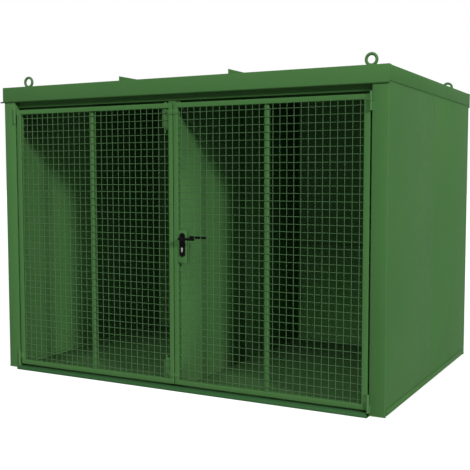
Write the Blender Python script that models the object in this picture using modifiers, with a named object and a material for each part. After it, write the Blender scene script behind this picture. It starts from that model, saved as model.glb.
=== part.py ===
"""Walk-in gas cylinder cage: a folded sheet-steel body with two welded-mesh door leaves.

The frame is +Z up, -Y at the doors, in metres. The origin lies on the ground under the
middle of the body. Each leaf hangs under an empty on its hinge axis, and the two levers
under an empty on their spindle. Run it with: blender --background --python part.py
"""
import math

import bmesh
import bpy
from mathutils import Matrix, Vector

# Fit and sheet thickness
GAP = 0.0003                 # air between pieces that touch
SHEET = 0.0025               # walls, fascias and rails
FLOOR_SHEET = 0.003
ROOF_SHEET = 0.003

# Body, outside sizes
BODY_HALF_W = 1.5468
BODY_HALF_D = 1.064
BODY_BOTTOM = 0.013          # the side walls stand clear of the ground on the base rails
BEND_R = 0.005               # outer radius of the folded upright corners
WALL_FOLD = 0.028            # folds where sheets meet: side seam and rear posts
PANEL_FOLD = 0.025           # turned edges of the rear panels
REAR_SEAM_Z = 0.893          # seam between the lower and the upper rear panels

# Roof and fascias
FASCIA_TOP = 2.1915
FASCIA_SIDE_DROP = 0.101
FASCIA_FRONT_DROP = 0.1155
FASCIA_ROLL = 0.011          # lower edges of the front and rear fascias are rolled under
FASCIA_PROUD_FRONT = 0.0115
FASCIA_PROUD_REAR = 0.020
FASCIA_PROUD_SIDE = 0.0045
FASCIA_FLANGE = 0.045        # width of the flange that lies on the roof sheet
SEAM_RISE = 0.030            # how far the two roof seams stand over the fascia
SEAM_THICK = 0.006
SEAM_X = 0.444

# Door opening
POST_FACE = 0.105            # width of a corner panel's face beside the opening
REVEAL = 0.050               # depth of the fold beside the doors
LINTEL_DROP = 0.1545         # from the roof edge down to the lintel's underside
LINTEL_INSET = 0.036         # from the leaf's front back to the lintel's face
SIDE_CLEAR = 0.013           # air between post and leaf
TOP_CLEAR = 0.020            # air between lintel and leaf
SILL_CLEAR = 0.0155          # air between sill and leaf

# Leaves
MEET_X = -0.005              # middle of the gap between the leaves
MEET_GAP = 0.006
LEAF_INSET = 0.002           # from the body's front back to the leaf's front
LEAF_DEPTH = 0.040
FACE_HINGE = 0.040           # visible tube faces of a leaf
FACE_MEET = 0.034
FACE_RAIL = 0.034
TUBE_ROUND = 0.003
STIFFENER_W = 0.034
STIFFENER_DEPTH = 0.022

# Welded mesh
PITCH = 0.050
WIRE = 0.0045
MESH_INSET = 0.006           # from the leaf's front back to the middle of the mesh
FIRST_WIRE = 0.0325          # from the meeting stile to the first upright wire
TOP_WIRE = 0.033             # from the top rail down to the first level wire
BORDER = 0.004               # flat that the wire ends are welded to
BORDER_DEPTH = 0.010

# Hinges: weld-on lift-off barrels in front of the joint
HINGE_OUT = 0.0072           # from the leaf's edge out to the pin
HINGE_R = 0.0085
HINGE_LENGTH = 0.120
HINGE_RISE = 0.016           # upper barrel's top over the leaf's top
HINGE_LOW = 0.1045           # lower barrel's top over the leaf's bottom
PIN_R = 0.005
PIN_LENGTH = 0.048
PIN_CLEAR = 0.00008
TAB = 0.005                  # plate welded to post or leaf
TAB_REACH = 0.036
TAB_ROOT = 0.004             # where the tab runs into its barrel
CAP = 0.010                  # closed end of the bored barrel

# Lock
BACKSET = 0.073              # from the leaf's edge to spindle and cylinder
SPINDLE_Z = 1.080
CYLINDER_DROP = 0.072        # spindle to cylinder
CASE_UP = 0.0545             # lock case over the spindle
CASE_DOWN = 0.171
CASE_BESIDE = 0.032          # lock case from the spindle towards the mesh
CASE_PROUD = 0.002
PLATE_W = 0.043
PLATE_UP = 0.038
PLATE_DOWN = 0.128
PLATE_T = 0.008
CYLINDER_R = 0.0085
STEM_R = 0.005
STEM_DROP = 0.0195           # cylinder's round to the round end of its stem
CYLINDER_PROUD = 0.001

# Levers
LEVER_REACH = 0.050          # plate face to the middle of the grip
LEVER_LENGTH = 0.130         # spindle to the grip's end
LEVER_R = 0.009
LEVER_BEND = 0.014
LEVER_SIDES = 4              # bevel resolution: 12 sides
COLLAR_R = 0.0105
COLLAR_LENGTH = 0.010
NECK_CLEAR = 0.0003
SPINDLE_R = 0.0045
SPINDLE_CLEAR = 0.0015

# Bolts of the fixed leaf and stop
BOLT_PLATE_W = 0.039
BOLT_PLATE_H = 0.150
BOLT_PLATE_T = 0.005
BOLT_CHAMFER = 0.020
STOP_HALF = 0.0385           # door stop plate, to each side of its middle
STOP_SHIFT = -0.0025
STOP_DROP = 0.075            # below the leaf's top
STOP_T = 0.005

# Base
SILL_PROUD = 0.037           # sill in front of the body
SILL_TOP = 0.023
SILL_END = 0.0018            # sill's ends clear of the posts
FLOOR_FRONT = 0.034          # front edge of the floor sheet behind the body's front
BASE_RAIL_TOP = 0.053
BASE_RAIL_PROUD = 0.004
BASE_RAIL_FOLD = 0.034       # ledge that the side walls stand on
BASE_RAIL_END = 0.022

# Partition
PARTITION_T = 0.030
PARTITION_INSET = 0.054      # from the body's front back to the partition

# Lifting eyes, sizes of the usual M24 forged eye
EYE_INSET_X = 0.1508
EYE_INSET_Y = 0.110
EYE_MEAN_R = 0.035
EYE_BAR_R = 0.010
EYE_COLLAR_R = 0.025
EYE_COLLAR_H = 0.012
EYE_HEIGHT = 0.095

# Drain spout
SPOUT_R = 0.0055
SPOUT_BORE_R = 0.0035
SPOUT_LENGTH = 0.060
SPOUT_INSET = 0.024          # behind the body's front
SPOUT_DROP = 0.007           # below the side fascia

# Places that follow from the sizes
SEAM_GAP = 0.0008            # each side of a butt seam keeps this far from its middle
FASCIA_SIDE_BOTTOM = FASCIA_TOP - FASCIA_SIDE_DROP
FASCIA_FRONT_BOTTOM = FASCIA_TOP - FASCIA_FRONT_DROP
UNDER_ROOF = FASCIA_TOP - SHEET - ROOF_SHEET - 2 * GAP
OPENING_HALF = BODY_HALF_W - POST_FACE
LINTEL_BOTTOM = FASCIA_TOP - LINTEL_DROP
LEAF_EDGE_X = OPENING_HALF - SIDE_CLEAR
LEAF_TOP = LINTEL_BOTTOM - TOP_CLEAR
LEAF_BOTTOM = SILL_TOP + SILL_CLEAR
LEAF_FRONT_Y = -BODY_HALF_D + LEAF_INSET
LEAF_BACK_Y = LEAF_FRONT_Y + LEAF_DEPTH
FIELD_BOTTOM = LEAF_BOTTOM + FACE_RAIL
FIELD_TOP = LEAF_TOP - FACE_RAIL
MESH_Y = LEAF_FRONT_Y + MESH_INSET
HINGE_X = LEAF_EDGE_X + HINGE_OUT
HINGE_Y = -BODY_HALF_D - GAP - HINGE_R
HINGE_TOPS = {"upper": LEAF_TOP + HINGE_RISE, "lower": LEAF_BOTTOM + HINGE_LOW}
LOCK_X = MEET_X + MEET_GAP / 2 + BACKSET
CYLINDER_Z = SPINDLE_Z - CYLINDER_DROP
CASE_FRONT = LEAF_FRONT_Y - CASE_PROUD
CASE_RIGHT = LOCK_X + CASE_BESIDE
CASE_Z = (SPINDLE_Z - CASE_DOWN, SPINDLE_Z + CASE_UP)
PLATE_OUT = CASE_FRONT - GAP - PLATE_T
PLATE_IN = LEAF_BACK_Y + GAP + PLATE_T
PARTITION_FRONT_Y = -BODY_HALF_D + PARTITION_INSET

GREEN = (0.060, 0.171, 0.052, 1.0)
BLACK = (0.012, 0.012, 0.013, 1.0)
STEEL = (0.42, 0.43, 0.44, 1.0)


def material(name, colour, rough, metal):
    """Make one Principled material for one piece."""
    mat = bpy.data.materials.new(name)
    mat.use_nodes = True
    shader = mat.node_tree.nodes["Principled BSDF"]
    shader.inputs["Base Color"].default_value = colour
    shader.inputs["Roughness"].default_value = rough
    shader.inputs["Metallic"].default_value = metal
    mat.diffuse_color = colour
    return mat


def collection(name):
    """Make a collection in the scene."""
    group = bpy.data.collections.new(name)
    bpy.context.scene.collection.children.link(group)
    return group


def place_of(obj):
    """Place of an object in the cage's frame: its location and its parents' added up."""
    place = Vector((0.0, 0.0, 0.0))
    while obj is not None:
        place += obj.location
        obj = obj.parent
    return place


def seat(obj, home, parent):
    """Hang an object under its parent with its origin at a point of the cage's frame."""
    obj.parent = parent
    obj.location = Vector(home) - place_of(parent)


def axis_empty(name, point, parent=None):
    """Put an empty on a joint's axis."""
    empty = bpy.data.objects.new(name, None)
    empty.empty_display_size = 0.1
    PARTS.objects.link(empty)
    seat(empty, point, parent)
    return empty


def middle(bm):
    """Middle of a bmesh's box."""
    low = Vector([min(v.co[i] for v in bm.verts) for i in range(3)])
    high = Vector([max(v.co[i] for v in bm.verts) for i in range(3)])
    return (low + high) / 2


def add(bm, name, parent=None, home=None, look=(GREEN, 0.45, 0.0), smooth=False):
    """Make a named object of a bmesh drawn in the cage's frame, with its origin at home."""
    bmesh.ops.recalc_face_normals(bm, faces=bm.faces)
    home = middle(bm) if home is None else Vector(home)
    bmesh.ops.translate(bm, verts=bm.verts, vec=-home)
    mesh = bpy.data.meshes.new(name)
    bm.to_mesh(mesh)
    bm.free()
    if smooth:
        mesh.shade_smooth()
        mesh.set_sharp_from_angle(angle=math.radians(40.0))
    obj = bpy.data.objects.new(name, mesh)
    if look is None:
        CUTTERS.objects.link(obj)
        obj.hide_render = True
        obj.display_type = "WIRE"
    else:
        PARTS.objects.link(obj)
        mesh.materials.append(material(name, *look))
    seat(obj, home, parent)
    return obj


def cutter(bm, name, parent=None, smooth=False):
    """Make a hidden body that cuts or joins another."""
    return add(bm, name, parent, look=None, smooth=smooth)


def box(bm, low, high):
    """Add a box between two corners to a bmesh."""
    low, high = Vector(low), Vector(high)
    stretch = Matrix.Diagonal((high - low).to_4d())
    bmesh.ops.create_cube(bm, size=1.0, matrix=Matrix.Translation((low + high) / 2) @ stretch)


def rod(bm, start, end, radius, sides=24, turn=0.0):
    """Add a round bar between two points to a bmesh."""
    start, end = Vector(start), Vector(end)
    along = end - start
    aim = along.to_track_quat("Z", "Y").to_matrix().to_4x4()
    place = Matrix.Translation((start + end) / 2) @ aim @ Matrix.Rotation(turn, 4, "Z")
    bmesh.ops.create_cone(bm, cap_ends=True, segments=sides, radius1=radius, radius2=radius,
                          depth=along.length, matrix=place)


def box_part(name, low, high, parent=None):
    """Make one box-shaped piece."""
    bm = bmesh.new()
    box(bm, low, high)
    return add(bm, name, parent)


def combine(obj, other, operation):
    """Add an exact Boolean step to a piece."""
    step = obj.modifiers.new(f"{operation.title()} {other.name}", "BOOLEAN")
    step.operation = operation
    step.solver = "EXACT"
    step.object = other


def round_edges(obj, width, segments=2, angle=40.0):
    """Round a piece's sharp edges."""
    step = obj.modifiers.new("Rounded edges", "BEVEL")
    step.width = width
    step.segments = segments
    step.limit_method = "ANGLE"
    step.angle_limit = math.radians(angle)


def give_wall(obj, thick, side):
    """Give an open shell its sheet thickness."""
    step = obj.modifiers.new("Sheet", "SOLIDIFY")
    step.thickness = thick
    step.offset = side
    step.use_even_offset = True


def corner_arc(corner, start, end, radius, steps=6):
    """Give the points of a bend of a path at a right-angled corner."""
    corner, start, end = Vector(corner), Vector(start), Vector(end)
    into = (corner - start).normalized()
    out = (end - corner).normalized()
    centre = corner - into * radius + out * radius
    points = []
    for i in range(steps + 1):
        a = math.pi / 2 * i / steps
        points.append(centre - out * radius * math.cos(a) + into * radius * math.sin(a))
    return points


def folded_sheet(name, path, along, thick=SHEET, side=-1.0, closed=False):
    """Fold a sheet: draw its edge path, pull it along a direction, then thicken it."""
    home = Vector(path[0])
    bm = bmesh.new()
    verts = [bm.verts.new(Vector(p) - home) for p in path]
    pairs = list(zip(verts, verts[1:])) + ([(verts[-1], verts[0])] if closed else [])
    edges = [bm.edges.new(pair) for pair in pairs]
    pulled = bmesh.ops.extrude_edge_only(bm, edges=edges)["geom"]
    new = [item for item in pulled if isinstance(item, bmesh.types.BMVert)]
    bmesh.ops.translate(bm, verts=new, vec=along)
    mesh = bpy.data.meshes.new(name)
    bm.to_mesh(mesh)
    bm.free()
    obj = bpy.data.objects.new(name, mesh)
    PARTS.objects.link(obj)
    mesh.materials.append(material(name, GREEN, 0.45, 0.0))
    obj.location = home
    give_wall(obj, thick, side)
    return obj


def folded_pan(name, low, high, open_side, thick):
    """Fold a shallow pan: a box without the face on its open side, then thickened inwards."""
    bm = bmesh.new()
    box(bm, low, high)
    bmesh.ops.recalc_face_normals(bm, faces=bm.faces)
    lid = [face for face in bm.faces if face.normal.dot(Vector(open_side)) > 0.5]
    bmesh.ops.delete(bm, geom=lid, context="FACES_ONLY")
    obj = add(bm, name)
    give_wall(obj, thick, -1.0)
    return obj


def mirrored(path, sx=1, sy=1):
    """Mirror a plan path, and keep its thickening side the same by turning it round."""
    points = [Vector((p[0] * sx, p[1] * sy, p[2])) for p in path]
    return points[::-1] if sx * sy < 0 else points


def arc(cx, cz, radius, start, end, steps=12):
    """Give the points of an arc in the x-z plane, angles in radians."""
    turns = [start + (end - start) * i / steps for i in range(steps + 1)]
    return [(cx + radius * math.cos(a), cz + radius * math.sin(a)) for a in turns]


def mesh_of(curve, name):
    """Make a closed bmesh of a curve and remove the curve."""
    drawn = bpy.data.objects.new(name + "_line", curve)
    CUTTERS.objects.link(drawn)
    graph = bpy.context.evaluated_depsgraph_get()
    mesh = bpy.data.meshes.new_from_object(drawn.evaluated_get(graph))
    bm = bmesh.new()
    bm.from_mesh(mesh)
    bmesh.ops.remove_doubles(bm, verts=bm.verts, dist=0.00001)
    bpy.data.objects.remove(drawn, do_unlink=True)
    bpy.data.meshes.remove(mesh)
    return bm


def cut_outline(name, outline, y0, y1):
    """Cut a flat shape from its outline in the x-z plane, from y0 to y1."""
    curve = bpy.data.curves.new(name, "CURVE")
    curve.dimensions = "2D"
    curve.fill_mode = "BOTH"
    curve.extrude = (y1 - y0) / 2
    line = curve.splines.new("POLY")
    line.points.add(len(outline) - 1)
    for point, (x, z) in zip(line.points, outline):
        point.co = (x, z, 0.0, 1.0)
    line.use_cyclic_u = True
    bm = mesh_of(curve, name)
    stand = Matrix.Translation((0, (y0 + y1) / 2, 0)) @ Matrix.Rotation(math.pi / 2, 4, "X")
    bmesh.ops.transform(bm, matrix=stand, verts=bm.verts)
    return bm


def build_base():
    """The two side base rails on their legs, the floor sheet between them and the front sill."""
    x = BODY_HALF_W + BASE_RAIL_PROUD
    leg = x - BASE_RAIL_FOLD
    reach = BODY_HALF_D - BASE_RAIL_END
    for sx, name in ((-1, "base_rail_left"), (1, "base_rail_right")):
        path = [(sx * x, -reach, BASE_RAIL_TOP), (sx * x, -reach, BODY_BOTTOM),
                (sx * leg, -reach, BODY_BOTTOM), (sx * leg, -reach, 0)]
        folded_sheet(name, path, (0, 2 * reach, 0), side=sx)

    half = leg - SHEET - GAP
    front = -BODY_HALF_D + FLOOR_FRONT
    box_part("floor_sheet", (-half, front, 0), (half, BODY_HALF_D - PANEL_FOLD - GAP, FLOOR_SHEET))
    half, y = OPENING_HALF - SILL_END, -BODY_HALF_D - SILL_PROUD
    path = [(-half, y, SILL_TOP), (-half, y, 0), (-half, front - GAP, 0)]
    folded_sheet("front_sill", path, (2 * half, 0, 0), FLOOR_SHEET, side=1.0)


def corner_path(fold, z):
    """Plan path of a front right corner panel, from its inner fold to the side seam."""
    w, d = BODY_HALF_W, BODY_HALF_D
    corner, inner, seam = (w, -d, z), (w - POST_FACE, -d, z), (w, -SEAM_GAP, z)
    path = [(w - POST_FACE, -d + fold, z), inner]
    path += corner_arc(corner, inner, seam, BEND_R)
    return path + [seam, (w - WALL_FOLD, -SEAM_GAP, z)]


def build_walls():
    """The folded corner panels and the four rear panels."""
    low = BODY_BOTTOM + SHEET + GAP
    for sy, row, fold in ((1, "front", REVEAL), (-1, "rear", WALL_FOLD)):
        for sx, side in ((-1, "left"), (1, "right")):
            path = mirrored(corner_path(fold, low), sx, sy)
            folded_sheet(f"{row}_{side}_corner_panel", path, (0, 0, UNDER_ROOF - low), side=1.0)

    edge = OPENING_HALF - GAP
    levels = (("lower", 0, REAR_SEAM_Z - GAP), ("upper", REAR_SEAM_Z + GAP, UNDER_ROOF))
    for sx, side in ((-1, "left"), (1, "right")):
        x0, x1 = sorted((sx * SEAM_GAP / 2, sx * edge))
        for level, z0, z1 in levels:
            folded_pan(f"rear_panel_{side}_{level}", (x0, BODY_HALF_D - PANEL_FOLD, z0),
                       (x1, BODY_HALF_D, z1), (0, -1, 0), SHEET)


def build_inside():
    """The two partition boxes, the lintel and the stop that hangs under it."""
    half = PARTITION_T / 2
    low = FLOOR_SHEET + GAP
    parts = (("partition_front", PARTITION_FRONT_Y, -SEAM_GAP),
             ("partition_rear", SEAM_GAP, BODY_HALF_D - PANEL_FOLD - GAP))
    for name, y0, y1 in parts:
        path = [(-half, y0, low), (half, y0, low), (half, y1, low), (-half, y1, low)]
        folded_sheet(name, path, (0, 0, UNDER_ROOF - low), side=1.0, closed=True)

    half = OPENING_HALF - GAP
    y0, y1 = LEAF_FRONT_Y + LINTEL_INSET, PARTITION_FRONT_Y - 2 * GAP
    path = [(-half, y0, UNDER_ROOF), (-half, y0, LINTEL_BOTTOM), (-half, y1, LINTEL_BOTTOM)]
    folded_sheet("lintel", path, (2 * half, 0, 0), side=1.0)

    y = PARTITION_FRONT_Y - GAP
    box_part("door_stop", (MEET_X + STOP_SHIFT - STOP_HALF, y - STOP_T, LEAF_TOP - STOP_DROP),
             (MEET_X + STOP_SHIFT + STOP_HALF, y, LINTEL_BOTTOM - GAP))


def build_roof():
    """The roof sheet, its two seams and the four fascias."""
    w = BODY_HALF_W + FASCIA_PROUD_SIDE
    y0 = -BODY_HALF_D - FASCIA_PROUD_FRONT
    y1 = BODY_HALF_D + FASCIA_PROUD_REAR
    inset = SHEET + GAP
    top, under = FASCIA_TOP, FASCIA_TOP - SHEET - GAP
    box_part("roof_sheet", (-w + inset, y0 + inset, under - ROOF_SHEET),
             (w - inset, y1 - inset, under))
    for sx, side in ((-1, "left"), (1, "right")):
        box_part(f"roof_seam_{side}", (sx * SEAM_X - SEAM_THICK / 2, y0, top + GAP),
                 (sx * SEAM_X + SEAM_THICK / 2, y1, top + SEAM_RISE))
        path = [(sx * w, y0 + inset, under), (sx * w, y0 + inset, FASCIA_SIDE_BOTTOM)]
        folded_sheet(f"fascia_{side}", path, (0, y1 - y0 - 2 * inset, 0), side=sx * 1.0)
    for name, y, inward in (("fascia_front", y0, 1.0), ("fascia_rear", y1, -1.0)):
        edge, corner = (-w, y, top), (-w, y, FASCIA_FRONT_BOTTOM)
        under_edge = (-w, y + inward * FASCIA_FLANGE, FASCIA_FRONT_BOTTOM)
        path = [(-w, y + inward * FASCIA_FLANGE, top), edge]
        path += corner_arc(corner, edge, under_edge, FASCIA_ROLL)
        folded_sheet(name, path, (2 * w, 0, 0), side=inward)


def build_eyes():
    """The four lifting eyes: a collar seated on the roof sheet and a forged ring."""
    floor = FASCIA_TOP - SHEET
    ring_z = floor + EYE_HEIGHT - EYE_MEAN_R - EYE_BAR_R
    for sy, row in ((-1, "front"), (1, "rear")):
        for sx, side in ((-1, "left"), (1, "right")):
            x, y = sx * (BODY_HALF_W - EYE_INSET_X), sy * (BODY_HALF_D - EYE_INSET_Y)
            bm = bmesh.new()
            rod(bm, (x, y, floor), (x, y, floor + EYE_COLLAR_H), EYE_COLLAR_R)
            eye = add(bm, f"lifting_eye_{row}_{side}", look=(GREEN, 0.4, 0.0), smooth=True)
            bpy.ops.mesh.primitive_torus_add(major_segments=24, minor_segments=8,
                                             major_radius=EYE_MEAN_R, minor_radius=EYE_BAR_R,
                                             location=(x, y, ring_z),
                                             rotation=(math.pi / 2, 0, 0))
            ring = bpy.context.object
            ring.name = f"eye_ring_{row}_{side}"
            ring.data.shade_smooth()
            for old in list(ring.users_collection):
                old.objects.unlink(ring)
            CUTTERS.objects.link(ring)
            ring.hide_render = True
            ring.display_type = "WIRE"
            combine(eye, ring, "UNION")


def leaf_span(right):
    """Left and right edges of a leaf, and of the field between its stiles."""
    if right:
        x0, x1 = MEET_X + MEET_GAP / 2, LEAF_EDGE_X
        return x0, x1, x0 + FACE_MEET, x1 - FACE_HINGE
    x0, x1 = -LEAF_EDGE_X, MEET_X - MEET_GAP / 2
    return x0, x1, x0 + FACE_HINGE, x1 - FACE_MEET


def build_leaf(right, axis):
    """One door leaf: tube frame, stiffener and the welded mesh between them."""
    side = "right" if right else "left"
    x0, x1, field0, field1 = leaf_span(right)
    frame = box_part(f"{side}_leaf_frame", (x0, LEAF_FRONT_Y, LEAF_BOTTOM),
                     (x1, LEAF_BACK_Y, LEAF_TOP), axis)
    bm = bmesh.new()
    box(bm, (field0, LEAF_FRONT_Y - LEAF_DEPTH, FIELD_BOTTOM),
        (field1, LEAF_BACK_Y + LEAF_DEPTH, FIELD_TOP))
    round_edges(frame, TUBE_ROUND)
    combine(frame, cutter(bm, f"{side}_leaf_field", axis), "DIFFERENCE")

    x, y = (x0 + x1) / 2, MESH_Y + BORDER_DEPTH / 2 + GAP
    box_part(f"{side}_leaf_stiffener", (x - STIFFENER_W / 2, y, FIELD_BOTTOM + GAP),
             (x + STIFFENER_W / 2, y + STIFFENER_DEPTH, FIELD_TOP - GAP), axis)
    build_mesh(right, (field0 + GAP, field1 - GAP), (FIELD_BOTTOM + GAP, FIELD_TOP - GAP), axis)


def wire_places(first, limit, step):
    """Places of a row of wires: from the first one, one pitch apart, up to the limit."""
    count = int((limit - first) / step) + 1
    return [first + step * k for k in range(count)]


def build_mesh(right, span, height, axis):
    """The welded mesh: upright wires in front, level wires behind, ends on a flat border."""
    side = "right" if right else "left"
    (a, b), (low, high) = span, height
    half = BORDER / 2
    lay = (WIRE + GAP) / 2
    bm = bmesh.new()
    box(bm, (a, MESH_Y - BORDER_DEPTH / 2, low), (b, MESH_Y + BORDER_DEPTH / 2, high))
    panel = add(bm, f"{side}_leaf_mesh", axis)
    bm = bmesh.new()
    box(bm, (a + BORDER, MESH_Y - BORDER_DEPTH, low + BORDER),
        (b - BORDER, MESH_Y + BORDER_DEPTH, high - BORDER))
    combine(panel, cutter(bm, f"{side}_mesh_field", axis), "DIFFERENCE")

    case_x, case_z = a, (0.0, 0.0)
    if right:
        case_x, case_z = CASE_RIGHT + GAP, (CASE_Z[0] - GAP, CASE_Z[1] + GAP)
        bm = bmesh.new()
        box(bm, (a - BORDER, MESH_Y - BORDER_DEPTH, case_z[0]),
            (CASE_RIGHT, MESH_Y + BORDER_DEPTH, case_z[1]))
        combine(panel, cutter(bm, "lock_case_room", axis), "DIFFERENCE")

    reach = b - a - WIRE / 2
    offsets = wire_places(FIRST_WIRE - GAP, reach, PITCH)
    columns = [a + s if right else b - s for s in offsets]
    drops = wire_places(TOP_WIRE - GAP, high - low - WIRE / 2, PITCH)
    bm = bmesh.new()
    y = MESH_Y - lay
    for x in columns:
        if x - WIRE / 2 < case_x:
            rod(bm, (x, y, low + half), (x, y, case_z[0]), WIRE / 2, 6, math.pi / 6)
            rod(bm, (x, y, case_z[1]), (x, y, high - half), WIRE / 2, 6, math.pi / 6)
        else:
            rod(bm, (x, y, low + half), (x, y, high - half), WIRE / 2, 6, math.pi / 6)
    y = MESH_Y + lay
    for z in (high - drop for drop in drops):
        beside = case_z[0] - WIRE / 2 < z < case_z[1] + WIRE / 2
        start = case_x if right and beside else a + half
        rod(bm, (start, y, z), (b - half, y, z), WIRE / 2, 6)
    combine(panel, cutter(bm, f"{side}_mesh_wires", axis, smooth=True), "UNION")


def barrel_with_tab(name, span, tab_x, tab_y, tab_z, parent):
    """Half of a hinge: a round barrel with its welded tab."""
    x = HINGE_X if tab_x[0] > 0 else -HINGE_X
    bm = bmesh.new()
    rod(bm, (x, HINGE_Y, span[0]), (x, HINGE_Y, span[1]), HINGE_R)
    half = add(bm, name, parent, home=(x, HINGE_Y, span[0]), look=(GREEN, 0.4, 0.0), smooth=True)
    bm = bmesh.new()
    box(bm, (min(tab_x), tab_y - TAB, tab_z[0]), (max(tab_x), tab_y, tab_z[1]))
    combine(half, cutter(bm, name + "_tab", parent), "UNION")
    return half


def build_hinges(left_axis, right_axis):
    """Lift-off barrels: a pinned half on each post and a bored half on each leaf."""
    for sx, side, axis in ((-1, "left", left_axis), (1, "right", right_axis)):
        x = sx * HINGE_X
        for row, top in HINGE_TOPS.items():
            low, mid = top - HINGE_LENGTH, top - HINGE_LENGTH / 2
            pin_top = mid + PIN_LENGTH
            outer = (x + sx * TAB_ROOT, x + sx * TAB_REACH)
            post = barrel_with_tab(f"{side}_post_hinge_{row}", (low, mid - GAP), outer,
                                   -BODY_HALF_D - GAP, (low + TAB_ROOT, mid - TAB_ROOT), None)
            bm = bmesh.new()
            rod(bm, (x, HINGE_Y, mid - 2 * CAP), (x, HINGE_Y, pin_top), PIN_R)
            combine(post, cutter(bm, f"{side}_pin_{row}", smooth=True), "UNION")

            inner = (x - sx * TAB_ROOT, x - sx * TAB_REACH)
            leaf = barrel_with_tab(f"{side}_leaf_hinge_{row}", (mid + GAP, top), inner,
                                   LEAF_FRONT_Y - GAP,
                                   (mid + TAB_ROOT, top - HINGE_RISE), axis)
            bm = bmesh.new()
            rod(bm, (x, HINGE_Y, mid - CAP), (x, HINGE_Y, top - CAP), PIN_R + PIN_CLEAR)
            combine(leaf, cutter(bm, f"{side}_bore_{row}", axis, smooth=True), "DIFFERENCE")


def cylinder_outline(grow=0.0):
    """Outline of the keyed cylinder: a round on a narrower stem with a round end."""
    r, s = CYLINDER_R + grow, STEM_R + grow
    neck = math.acos(s / r)
    low = CYLINDER_Z - STEM_DROP
    return (arc(LOCK_X, CYLINDER_Z, r, -neck, math.pi + neck, 16)
            + arc(LOCK_X, low, s, math.pi, 2 * math.pi, 8))


def plate_outline():
    """Outline of a long lock plate with round ends."""
    r = PLATE_W / 2
    high, low = SPINDLE_Z + PLATE_UP - r, SPINDLE_Z - PLATE_DOWN + r
    return arc(LOCK_X, high, r, 0, math.pi, 16) + arc(LOCK_X, low, r, math.pi, 2 * math.pi, 16)


def cut_lock_holes(obj, label, bore, axis):
    """Cut the spindle's and the cylinder's holes through a piece of the lock."""
    y0, y1 = PLATE_OUT - PLATE_T, PLATE_IN + PLATE_T
    bm = bmesh.new()
    rod(bm, (LOCK_X, y0, SPINDLE_Z), (LOCK_X, y1, SPINDLE_Z), bore)
    combine(obj, cutter(bm, f"{label}_spindle_hole", axis, smooth=True), "DIFFERENCE")
    bm = cut_outline(f"{label}_cylinder_hole", cylinder_outline(GAP), y0, y1)
    combine(obj, cutter(bm, f"{label}_cylinder_hole", axis), "DIFFERENCE")


def build_lock(axis):
    """Lock case, the two long plates and the keyed cylinder through them."""
    x0 = leaf_span(True)[2] + GAP
    case = box_part("lock_case", (x0, CASE_FRONT, CASE_Z[0]), (CASE_RIGHT, LEAF_BACK_Y, CASE_Z[1]),
                    axis)
    cut_lock_holes(case, "case", SPINDLE_R + SPINDLE_CLEAR, axis)
    for name, y0, y1 in (("outer_lock_plate", PLATE_OUT, CASE_FRONT - GAP),
                         ("inner_lock_plate", LEAF_BACK_Y + GAP, PLATE_IN)):
        bm = cut_outline(name, plate_outline(), y0, y1)
        plate = add(bm, name, axis, look=(BLACK, 0.35, 0.0), smooth=True)
        cut_lock_holes(plate, name, COLLAR_R + NECK_CLEAR, axis)
    bm = cut_outline("lock_cylinder", cylinder_outline(), PLATE_OUT - CYLINDER_PROUD,
                     PLATE_IN + CYLINDER_PROUD)
    add(bm, "lock_cylinder", axis, look=(STEEL, 0.3, 1.0), smooth=True)


def lever_line(face, sy):
    """Line of a lever's bar: out of the plate, round one bend, then level to its end."""
    y = face + sy * LEVER_REACH
    root = (LOCK_X, face - sy * (PLATE_T - CYLINDER_PROUD), SPINDLE_Z)
    end = (LOCK_X + LEVER_LENGTH, y, SPINDLE_Z)
    return [root] + corner_arc((LOCK_X, y, SPINDLE_Z), root, end, LEVER_BEND) + [end]


def build_levers(axis):
    """The outer lever with the spindle, and the inner lever with its socket."""
    for name, sy, face in (("outer_lever", -1, PLATE_OUT), ("inner_lever", 1, PLATE_IN)):
        curve = bpy.data.curves.new(name, "CURVE")
        curve.dimensions = "3D"
        curve.bevel_depth = LEVER_R
        curve.bevel_resolution = LEVER_SIDES
        curve.use_fill_caps = True
        points = lever_line(face, sy)
        line = curve.splines.new("POLY")
        line.points.add(len(points) - 1)
        for point, place in zip(line.points, points):
            point.co = (*place, 1.0)
        home = (LOCK_X, face, SPINDLE_Z)
        lever = add(mesh_of(curve, name), name, axis, home, (BLACK, 0.35, 0.0), smooth=True)
        inner = face - sy * (PLATE_T - CYLINDER_PROUD)
        bm = bmesh.new()
        rod(bm, (LOCK_X, inner, SPINDLE_Z), (LOCK_X, face + sy * COLLAR_LENGTH, SPINDLE_Z), COLLAR_R)
        combine(lever, cutter(bm, name + "_collar", axis, smooth=True), "UNION")
        bm = bmesh.new()
        if sy < 0:
            rod(bm, (LOCK_X, face - COLLAR_LENGTH, SPINDLE_Z),
                (LOCK_X, PLATE_IN + LEVER_REACH / 2, SPINDLE_Z), SPINDLE_R, 12)
            combine(lever, cutter(bm, "spindle", axis), "UNION")
        else:
            rod(bm, (LOCK_X, inner - CYLINDER_PROUD, SPINDLE_Z),
                (LOCK_X, PLATE_IN + LEVER_REACH / 2 + GAP, SPINDLE_Z), SPINDLE_R + GAP, 12)
            combine(lever, cutter(bm, "spindle_socket", axis), "DIFFERENCE")


def build_bolts(axis):
    """The two plates that carry the fixed leaf's bolts, each with a cut-off corner."""
    edge = leaf_span(False)[3] - GAP
    y0 = MESH_Y + BORDER_DEPTH / 2 + GAP
    c = BOLT_CHAMFER
    for name, root, up in (("top_bolt_plate", FIELD_TOP - GAP, -1),
                           ("bottom_bolt_plate", FIELD_BOTTOM + GAP, 1)):
        end, inner = root + up * BOLT_PLATE_H, edge - BOLT_PLATE_W
        outline = [(edge, root), (inner, root), (inner, end - up * c), (inner + c, end), (edge, end)]
        add(cut_outline(name, outline, y0, y0 + BOLT_PLATE_T), name, axis)


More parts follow.
